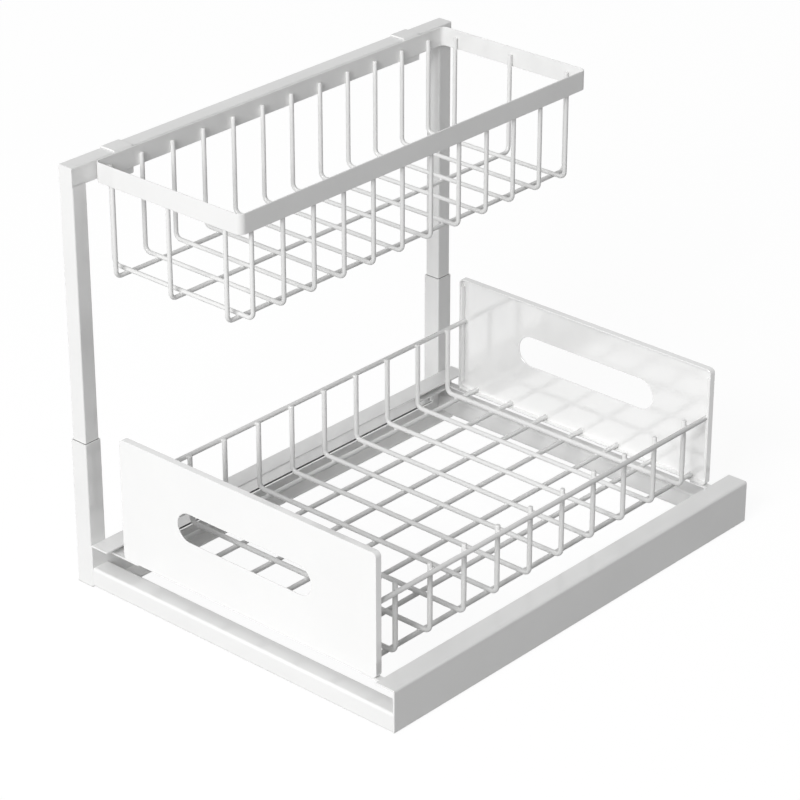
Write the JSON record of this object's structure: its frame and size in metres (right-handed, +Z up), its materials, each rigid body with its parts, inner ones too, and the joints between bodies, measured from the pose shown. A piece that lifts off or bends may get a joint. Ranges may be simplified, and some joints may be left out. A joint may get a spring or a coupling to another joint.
{
  "type": "pull-out cabinet rack",
  "caption": "Two-tier pull-out rack for a kitchen cabinet: wire drawer on ball slides in a low steel frame, with a narrow wire basket hung from a side post frame.",
  "frame": {"origin": "bottom centre of the whole rack, on the surface it stands on", "axes": "-Y is the front, where the drawer comes out; the posts stand on the -X side; +Z is up"},
  "size_m": [0.3304, 0.42, 0.3503],
  "materials": {
    "white_coat": "satin white powder coat",
    "zinc_steel": "bright zinc plate",
    "cage_steel": "plain steel",
    "white_plastic": "moulded",
    "pad_rubber": "matte"
  },
  "bodies": {
    "frame": {"left_rail": "white_coat", "right_rail": "white_coat", "front_cross_bar": "white_coat", "rear_cross_bar": "white_coat", "front_post_sleeve": "white_coat", "rear_post_sleeve": "white_coat", "front_post": "white_coat", "rear_post": "white_coat", "beam": "white_coat", "front_foot_plug": "white_plastic", "rear_foot_plug": "white_plastic", "floor_pads": "pad_rubber", "left_slide_channel": "zinc_steel", "right_slide_channel": "zinc_steel"},
    "left_cage": {"left_ball_cage": "cage_steel"},
    "right_cage": {"right_ball_cage": "cage_steel"},
    "drawer": {"drawer_front_panel": "white_coat", "drawer_rear_panel": "white_coat", "drawer_floor_wires": "white_coat", "drawer_left_rim_wire": "white_coat", "drawer_right_rim_wire": "white_coat", "drawer_cross_wire_1": "white_coat", "drawer_cross_wire_2": "white_coat", "drawer_cross_wire_3": "white_coat", "drawer_cross_wire_4": "white_coat", "drawer_cross_wire_5": "white_coat", "drawer_cross_wire_6": "white_coat", "drawer_cross_wire_7": "white_coat", "drawer_cross_wire_8": "white_coat", "drawer_cross_wire_9": "white_coat", "drawer_cross_wire_10": "white_coat", "front_left_bracket": "white_coat", "front_right_bracket": "white_coat", "rear_left_bracket": "white_coat", "rear_right_bracket": "white_coat", "left_slide_runner": "zinc_steel", "right_slide_runner": "zinc_steel", "bracket_screws": "zinc_steel"},
    "upper_basket": {"basket_rim": "white_coat", "front_basket_hook": "white_coat", "rear_basket_hook": "white_coat", "basket_cross_wire_1": "white_coat", "basket_cross_wire_2": "white_coat", "basket_cross_wire_3": "white_coat", "basket_cross_wire_4": "white_coat", "basket_cross_wire_5": "white_coat", "basket_cross_wire_6": "white_coat", "basket_cross_wire_7": "white_coat", "basket_cross_wire_8": "white_coat", "basket_cross_wire_9": "white_coat", "basket_cross_wire_10": "white_coat", "basket_cross_wire_11": "white_coat", "basket_cross_wire_12": "white_coat", "basket_long_wire_1": "white_coat", "basket_long_wire_2": "white_coat", "basket_long_wire_3": "white_coat"}
  },
  "joints": [
    {"name": "drawer_slide", "type": "slide", "parent": "frame", "child": "drawer", "axis": [0, -1, 0], "range_m": [0, 0.25]},
    {"name": "left_cage_roll", "type": "slide", "parent": "frame", "child": "left_cage", "axis": [0, -1, 0], "range_m": [0, 0.125]},
    {"name": "right_cage_roll", "type": "slide", "parent": "frame", "child": "right_cage", "axis": [0, -1, 0], "range_m": [0, 0.125]},
    {"name": "upper_basket_lift", "type": "slide", "parent": "frame", "child": "upper_basket", "axis": [0, 0, 1], "range_m": [0, 0.12]}
  ],
  "couplings": [
    {"joint": "left_cage_roll", "follows": "drawer_slide", "ratio": 0.5},
    {"joint": "right_cage_roll", "follows": "drawer_slide", "ratio": 0.5}
  ]
}
